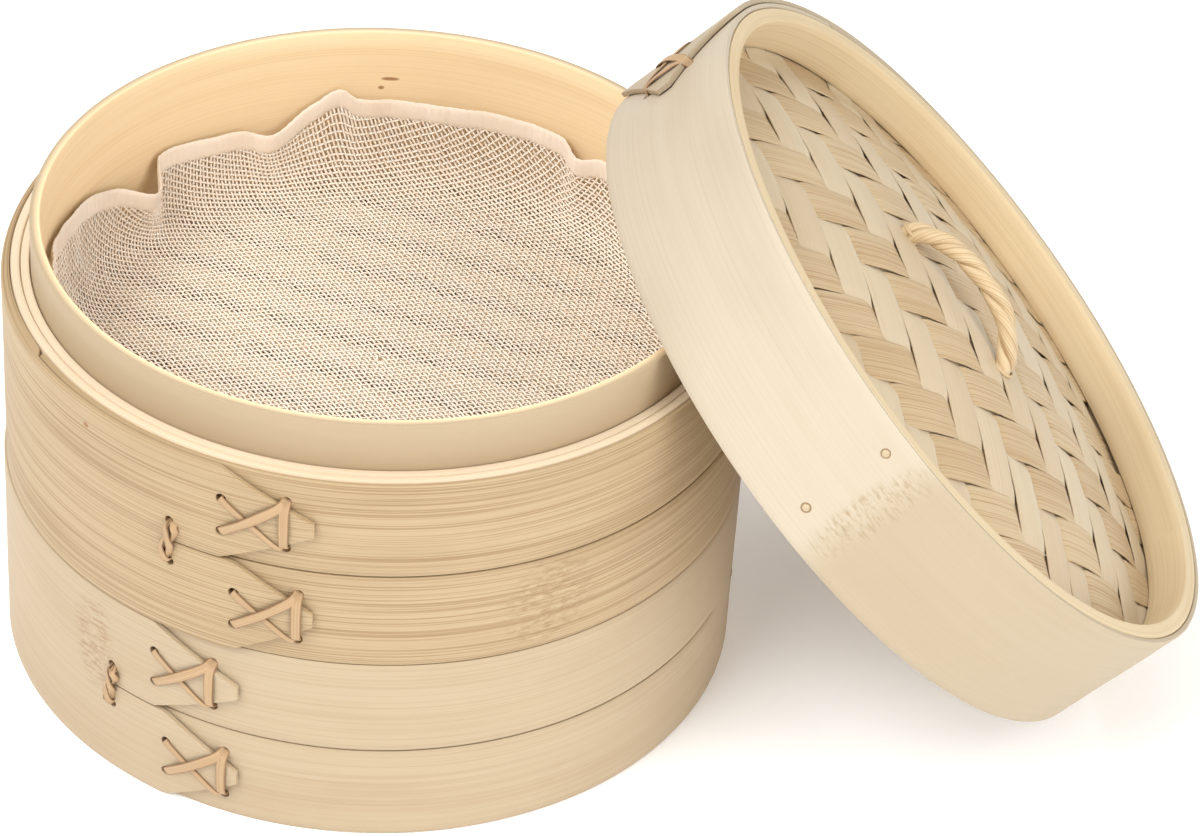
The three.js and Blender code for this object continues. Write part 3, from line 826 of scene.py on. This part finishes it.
def weave_strip(shape, start, direction, step, side_at, width, reach, height, seed):
    """One shaved strip across the dome, over two and under two of the others, its ends cut round."""
    along = start.dot(direction)
    side = Vector((-direction.y, direction.x, 0))
    off = start.dot(side)

    def half_chord(a):
        return math.sqrt(max(reach ** 2 - (off + a) ** 2, (2 * MM) ** 2))

    if abs(off) > reach - 0.3 * width:
        return
    count = max(8, int(2 * half_chord(0) / (1.3 * MM)))
    sections = []
    for k in range(count + 1):
        middle = lerp(-half_chord(0), half_chord(0), k / count) - along
        drift = 0.35 * MM * wobble(middle * 25, seed * 1.7, 3)
        wide = width * (1 + 0.035 * wobble(middle * 20, seed * 2.3, 6))
        crown = 0.16 * MM * (1 if float_height(middle, side_at, step) > 0 else -0.4)
        lean = 0.05 * wobble(middle * 30, seed * 3.1, 11)
        outline = []
        for a, b in lens(wide, WEAVE_THICK, crown, steps=6):
            s = lerp(-half_chord(a), half_chord(a), k / count) - along
            flat = start + direction * s + side * (a + drift)
            radius = flat.length
            calm = smooth((reach - radius) / (7 * MM))
            offset = float_height(s, side_at, step) * (1 + 0.25 * wobble(s * 40, seed, 8))
            lift = WEAVE_LIFT * lerp(0.75, 1.15, calm) * offset + lean * a
            slope = (height(radius + MM) - height(radius)) / MM
            away = flat.normalized() if radius > MM else Vector((0, 0, 0))
            up = (UP - away * slope).normalized()
            outline.append(Vector((flat.x, flat.y, height(radius) + lift)) + up * b)
        sections.append(outline)
    sweep(shape, sections, tone=clamp(0.45 + 0.9 * wobble(seed * 3.7, 2.2, 1)),
          start=seed * 0.31, side=seed * 0.057)


def smooth_side(i, j):
    """1 where smooth strip i lies over ribbed strip j, else -1: over two, under two."""
    return 1 if (i + j) % 4 in (3, 0) else -1


def woven_cover():
    """The twill panel: two families of strips that cross at a slant."""
    height, reach = cover_height()
    smooth_way, ribbed_way = polar(1, SMOOTH_AT, 0), polar(1, RIBBED_AT, 0)
    squint = 0.97 * math.sin(math.radians(SMOOTH_AT - RIBBED_AT))  # a strip's width over its step
    panel = {"smooth": Shape(), "ribbed": Shape()}
    for k in range(-WEAVE_COUNT, WEAVE_COUNT + 1):
        start = WEAVE_ANCHOR + ribbed_way * (k * SMOOTH_STEP) + smooth_way * (RIBBED_STEP / 2)
        weave_strip(panel["smooth"], start, smooth_way, RIBBED_STEP,
                    lambda other, k=k: smooth_side(k, other),
                    SMOOTH_STEP * squint, reach, height, k + 31.4)
        start = WEAVE_ANCHOR + smooth_way * ((k + 0.5) * RIBBED_STEP)
        weave_strip(panel["ribbed"], start, ribbed_way, SMOOTH_STEP,
                    lambda other, k=k: -smooth_side(other, k),
                    RIBBED_STEP * squint, reach, height, k + 67.9)
    for kind, shape in panel.items():
        make(f"{kind}_woven_strips", shape, f"{kind}_weave", "lid", "woven_cover", LID, crease=60)
    return height


ROPE_WIDE, ROPE_THICK = 4.5 * MM, 3.3 * MM  # section of each of the handle's strands
ROPE_PITCH = 21 * MM  # length of one full twist


def handle_line(height):
    """The rope's own line: up through the weave, over a low arch and down again."""
    local = points_of("lid_handle", LID)
    top, bottom = local[:, 2].max(), local[:, 2].min()
    low_end = local[local[:, 2] < bottom + 2 * MM]
    middle = low_end.mean(0)
    offsets = low_end[:, :2] - middle[:2]
    axis = np.linalg.svd(offsets, full_matrices=False)[2][0]
    reach = np.abs(offsets @ axis).max() - 4.2 * MM
    feet = [Vector((*(middle[:2] + axis * reach * sign), 0)) for sign in (-1, 1)]
    surface = height(reach) + 0.7 * MM
    crown = top - 2.7 * MM
    knots = [(0, surface - 3.5 * MM), (0, surface + 0.5 * MM), (0.07, surface + 4.5 * MM),
             (0.25, crown - 1.6 * MM), (0.5, crown), (0.75, crown - 1.2 * MM), (0.93, surface + 4 * MM),
             (1, surface + 0.5 * MM), (1, surface - 3.5 * MM)]
    line = smooth_line([Vector((*feet[0].lerp(feet[1], t).xy, z)) for t, z in knots], 14)
    return line, feet, surface


def rope_handle(height):
    """Two shaved strips twisted into a rope, with a third curled round each foot."""
    line, feet, surface = handle_line(height)
    total = sum((b - a).length for a, b in zip(line, line[1:]))
    side = (feet[1] - feet[0]).normalized().cross(UP)
    shape = Shape()
    strands = 2
    for strand in range(strands):
        path, normals, outlines = [], [], []
        gone = 0.0
        for k, point in enumerate(line):
            gone += (point - line[max(k - 1, 0)]).length
            over = side.cross(heading(line, k).normalized()).normalized()
            turn = 2 * math.pi * (gone / ROPE_PITCH + strand / strands) + 1.3 * wobble(gone * 50, 1, 2)
            out = side * math.cos(turn) + over * math.sin(turn)
            taper = smooth(min(gone, total - gone) / (6 * MM))
            path.append(point + out * 1.25 * MM * lerp(0.7, 1, taper))
            normals.append(out)
            fat = lerp(0.75, 1, taper) * (1 + 0.1 * wobble(gone * 90, strand, 4))
            outlines.append(oval(ROPE_WIDE * fat, ROPE_THICK * fat, 14))
        sweep(shape, ribbon(path, normals, outlines), side=strand * 0.02)
    for foot, sign in zip(feet, (-1, 1)):
        curl(shape, foot, surface, sign)
    make("twisted_handle", shape, "twisted", "lid", "lid_handle", LID, crease=60)


def curl(shape, foot, surface, sign):
    """A thin strand wound once round the foot of the handle."""
    path, normals, outlines = [], [], []
    steps, winds = 26, 1.3
    for k in range(steps + 1):
        t = k / steps
        out = polar(1, math.degrees(2 * math.pi * winds * t + sign), 0)
        path.append(foot + out * 2.9 * MM * lerp(1.05, 0.8, t) + UP * (surface + lerp(0.1, 2.2, t) * MM))
        normals.append(out)
        outlines.append(lens(1.3 * MM * lerp(1, 0.5, t), 0.6 * MM, 0.1 * MM))
    sweep(shape, ribbon(path, normals, outlines), side=0.05 + 0.01 * sign)


def lid():
    size = section("lid_hoop", LID)
    height = size.top - size.bottom
    tongues = [(0, height, LID_ROOT)]
    piece, strip = hoop("lid_bent_strip", "lid_hoop", "lid", "lid", LID, LID_TURN, tongues, 30)
    points = lace_holes(LID_ROOT + 2.8, height / 2)
    drill(piece, strip, [(LACE_HOLE, a, z) for a, z, _ in points.values()])
    lace("lid_lacing", "lid_lace", strip, points, 77)
    ring("lid_upper_band", "lid_top_ring", "lid_inner", "lid", LID, count=6)
    ring("lid_lower_band", "lid_bottom_ring", "lid_inner", "lid", LID, count=8)
    rope_handle(woven_cover())
    for node in ("lid_peg_1", "lid_peg_2", "lid_peg_3"):
        peg(f"bamboo_{node}", node, LID, "lid_top_ring", strip, 0.12 * MM)


# ---- the gauze liner

# The two families of threads: the way they run, in degrees from X, and their spacing.
THREAD_WAYS = ((120.5, 1.24 * MM), (11.5, 1.8 * MM))
THREAD = 0.38 * MM  # half a thread's width
FLAT_RADIUS = 84 * MM  # where the gauze meets the wall's corner
CORNER = 9 * MM  # how far inside that it starts to rise
EDGE_RADIUS = 104 * MM  # the flat cloth, from its middle to the hem
HEM_WIDE = 6 * MM
# The wavy top of the hem: azimuth, height over the tier's foot and distance from the wall.
HEM_LINE = [
    (-180, 52.5, 2), (-160, 50.5, 1.6), (-135, 46, 2.6), (-110, 48.5, 1.5), (-85, 45.5, 2.4),
    (-60, 47.5, 1.4), (-35, 45, 2.6), (-10, 47.5, 1.6), (15, 46, 2.4), (38, 47, 1.5),
    (47, 48.5, 1.4), (52, 46.8, 2.6), (56, 50.2, 1.4), (67, 51, 1.2), (79, 50.6, 1.8), (89, 50.9, 1.2),
    (96, 51.6, 1.6), (99, 54.6, 1.2), (103, 51.5, 1.4), (112, 43.6, 3.4), (118, 45.4, 2),
    (128, 46.6, 1.4), (136, 47, 1.6), (139.5, 42.5, 6.5), (143, 42.5, 7.5), (148, 46, 3.2),
    (154, 48.6, 1.6), (166, 51.5, 1.2), (176, 53.4, 1.2),
]


def hem_at(azimuth):
    """The hem's height and distance from the wall, smooth between the points of HEM_LINE."""
    count = len(HEM_LINE)
    turn = (azimuth + 180) % 360 - 180
    at = max(k for k in range(count) if HEM_LINE[k][0] <= turn)
    points = [HEM_LINE[(at + k) % count] for k in (-1, 0, 1, 2)]
    start, end = points[1][0], points[2][0]
    t = (turn - start) / ((end - start) % 360)
    return [between(*(point[k] for point in points), t) * MM for k in (1, 2)]


def liner_surface():
    """Gives the place of any point of the flat cloth, once it lies in the tier."""
    keeper = section("upper_slat_ring", UPPER)
    floor = section("gauze_liner", UPPER).bottom + 0.45 * MM
    limit = section("upper_inner_wall", UPPER).inner - 0.8 * MM
    rise_from = FLAT_RADIUS - CORNER

    def place(radius, azimuth):
        """radius is measured along the cloth from its middle."""
        out = polar(1, azimuth, 0)
        x, y, _ = out * min(radius, FLAT_RADIUS)
        ripple = 0.35 * MM * (1 + wobble(x * 45, y * 45, 1))
        ripple += 0.25 * MM * (1 + wobble(x * 130, y * 130, 2))
        if radius <= rise_from:
            return out * radius + UP * (floor + ripple)
        # A curve from the floor up to the hem, over the ring that keeps the slats.
        top, gap = hem_at(azimuth)
        rim = limit - gap
        t = (radius - rise_from) / (EDGE_RADIUS - rise_from)
        p0 = Vector((rise_from, floor))
        p1 = Vector((FLAT_RADIUS + 1.5 * MM, floor + 0.5 * MM))
        p2 = Vector((lerp(rim, keeper.inner - 1.0 * MM, 0.45), keeper.top + 1.5 * MM))
        p3 = Vector((rim, top - HEM_WIDE))
        q = ((1 - t) ** 3) * p0 + 3 * (1 - t) ** 2 * t * p1 + 3 * (1 - t) * t * t * p2 + t ** 3 * p3
        fold = 0.9 * MM * smooth((t - 0.25) / 0.5) * round_wobble(azimuth, 9, 3)
        return out * (q.x - abs(fold)) + UP * (q.y + ripple * (1 - t))

    return place


def gauze(place):
    """Threads in two directions, each passing over and under the others in turn."""
    reach = EDGE_RADIUS + HEM_WIDE * 0.3
    ways = [polar(1, degrees, 0) for degrees, _ in THREAD_WAYS]
    slant = math.sin(math.radians(THREAD_WAYS[0][0] - THREAD_WAYS[1][0]))
    steps = [space / slant for _, space in THREAD_WAYS]
    count = int(1.1 * reach / min(steps))
    rng = random.Random(4)

    def lay(flat, lift):
        """The place of a point of the flat cloth, lifted off it, and the way the cloth faces."""
        azimuth = math.degrees(math.atan2(flat.y, flat.x))
        radius = clamp(flat.length, MM, EDGE_RADIUS)
        foot = place(radius, azimuth)
        climb = foot - place(radius - MM, azimuth)
        normal = climb.cross(polar(1, azimuth + 90, 0)).normalized()
        return foot + normal * lift, normal

    shape = Shape()
    for way in (0, 1):
        ahead, beside = ways[way], ways[1 - way]
        for k in range(-count, count + 1):
            start = beside * ((k + rng.uniform(-0.08, 0.08)) * steps[way])
            path, normals = [], []
            for m in range(-count, count + 1):
                flat = start + ahead * (m * steps[1 - way])
                if flat.length < reach:
                    flat += beside * (0.12 * steps[way] * wobble(m * 0.21, k * 0.33, way + 5))
                    point, normal = lay(flat, THREAD * 0.5 * (1 if (m + k + way) % 2 else -1))
                    path.append(point)
                    normals.append(normal)
            if len(path) < 4:
                continue
            sections = []
            for i, point in enumerate(path):
                run = heading(path, i).normalized()
                side = run.cross(normals[i]).normalized() * THREAD
                over = side.cross(run)
                foot = point - over * 0.15
                sections.append([point + over * 0.35, foot + side, foot - side])
            sweep(shape, sections, start=k * 0.01, side=way * 0.1)
    return make("gauze_cloth", shape, "thread", "liner", "gauze_liner", UPPER, crease=180)


def hem(place):
    """The gauze's edge, turned over and stitched into a soft band."""
    sections = []
    count = 720
    for k in range(count):
        azimuth = k * 360 / count
        foot = place(EDGE_RADIUS, azimuth)
        climb = (foot - place(EDGE_RADIUS * 0.985, azimuth)).normalized()
        rise = (climb + UP * 0.8).normalized()
        ahead = (place(EDGE_RADIUS, azimuth + 0.5) - place(EDGE_RADIUS, azimuth - 0.5)).normalized()
        normal = ahead.cross(rise).normalized()
        if normal.dot(polar(1, azimuth, 0)) > 0:
            normal = -normal
        stitch = math.sin(k * 2.3)
        pucker = 0.16 * MM * stitch + 0.25 * MM * wobble(k * 0.11, 3, 4)
        wide = HEM_WIDE + 0.35 * MM * wobble(k * 0.07, 8, 2)
        outline = []
        for a in turns(12):
            across = 0.5 - 0.5 * math.cos(a)
            puff = (0.5 + 0.08 * stitch * math.sin(math.pi * across)) * MM
            flat = math.copysign(abs(math.sin(a)) ** 0.6, math.sin(a))
            thick = puff * flat + pucker * across
            outline.append(foot + rise * (across * wide - 0.3 * MM) + normal * thick)
        sections.append(outline)
    shape = sweep(Shape(), sections, closed=True)
    return make("stitched_hem", shape, "hem", "liner", "liner_hem", UPPER, crease=60)


def liner():
    place = liner_surface()
    cloth, edge = gauze(place), hem(place)


# ---- stage, light and camera

WHITE = (1, 1, 1, 1)
WORLD_LIGHT = 0.44
FLOOR_GLOW = 0.15  # keeps the floor white where the basket shades it least
LIGHT_AIM = (0, 0, 0.08)
# Each soft lamp: its place and its width in metres, and its power in watts.
LAMPS = {
    "key": ((-0.85, -0.75, 1.4), 1.0, 19.5),
    "fill": ((1.05, -0.75, 1.25), 1.0, 8.5),
    "front": ((0.8, -1.1, 0.42), 0.8, 8),
    "back": ((0.3, 1.3, 1.1), 0.9, 5),
    "top": ((-0.5, 0.2, 1.6), 0.9, 6),
    "left": ((-1.3, -0.1, 0.7), 0.9, 3),
}
# The camera's distance in radii of the stack, and its height and turns off the stack's foot in
# degrees.
CAMERA_DISTANCE, CAMERA_ELEVATION = 11.74, 39.33
CAMERA_YAW, CAMERA_PITCH, CAMERA_ROLL = -3.04, 2.49, -1.81
LENS, SENSOR = 125, 36  # in millimetres


def stage_floor():
    n = Nodes("studio_floor")
    n.fill(n.shader, {"Base Color": WHITE, "Roughness": 0.9, "Emission Color": WHITE,
                      "Emission Strength": FLOOR_GLOW, "Specular IOR Level": 0.1})
    bpy.ops.mesh.primitive_plane_add(size=12, location=(0, 0, cad_low.z - 0.2 * MM))
    floor = bpy.context.object
    floor.name = "studio_floor"
    floor.data.materials.append(n.material)


def studio():
    world = bpy.data.worlds.new("studio")
    bpy.context.scene.world = world
    world.use_nodes = True
    inputs = world.node_tree.nodes["Background"].inputs
    inputs["Color"].default_value = WHITE
    inputs["Strength"].default_value = WORLD_LIGHT
    for name, (spot, size, watts) in LAMPS.items():
        data = bpy.data.lights.new(name, "AREA")
        data.shape, data.size, data.energy = "DISK", size, watts
        lamp = put(name, data)
        lamp.location = spot
        lamp.rotation_mode = "QUATERNION"
        lamp.rotation_quaternion = (Vector(LIGHT_AIM) - Vector(spot)).to_track_quat("-Z", "Y")
    bpy.context.scene.view_settings.view_transform = "Standard"


def camera():
    """At the photograph's viewing angle."""
    target = Vector((*LOWER.translation.xy, 0))
    rim = section("lower_hoop", LOWER).inner + LAYER
    elevation = math.radians(CAMERA_ELEVATION)
    away = Vector((0, -math.cos(elevation), math.sin(elevation)))
    right, ahead = Vector((1, 0, 0)), -away
    axes = [right, right.cross(ahead), ahead]
    for degrees, about in ((CAMERA_YAW, 1), (CAMERA_PITCH, 0), (CAMERA_ROLL, 2)):
        turn = Matrix.Rotation(math.radians(degrees), 3, axes[about])
        axes = [turn @ axis for axis in axes]
    right, up, ahead = axes
    data = bpy.data.cameras.new("camera")
    data.sensor_width, data.lens = SENSOR, LENS
    data.clip_start, data.clip_end = 0.05, 20
    made = put("camera", data)
    spot = target + away * CAMERA_DISTANCE * rim
    made.matrix_world = Matrix.Translation(spot) @ Matrix((right, up, -ahead)).transposed().to_4x4()
    bpy.context.scene.camera = made


# ---- assembly

camera()
studio()
stage_floor()
FINISHES = finishes()
for name in TIERS:
    tier(name)
carried_floor()
lid()
liner()
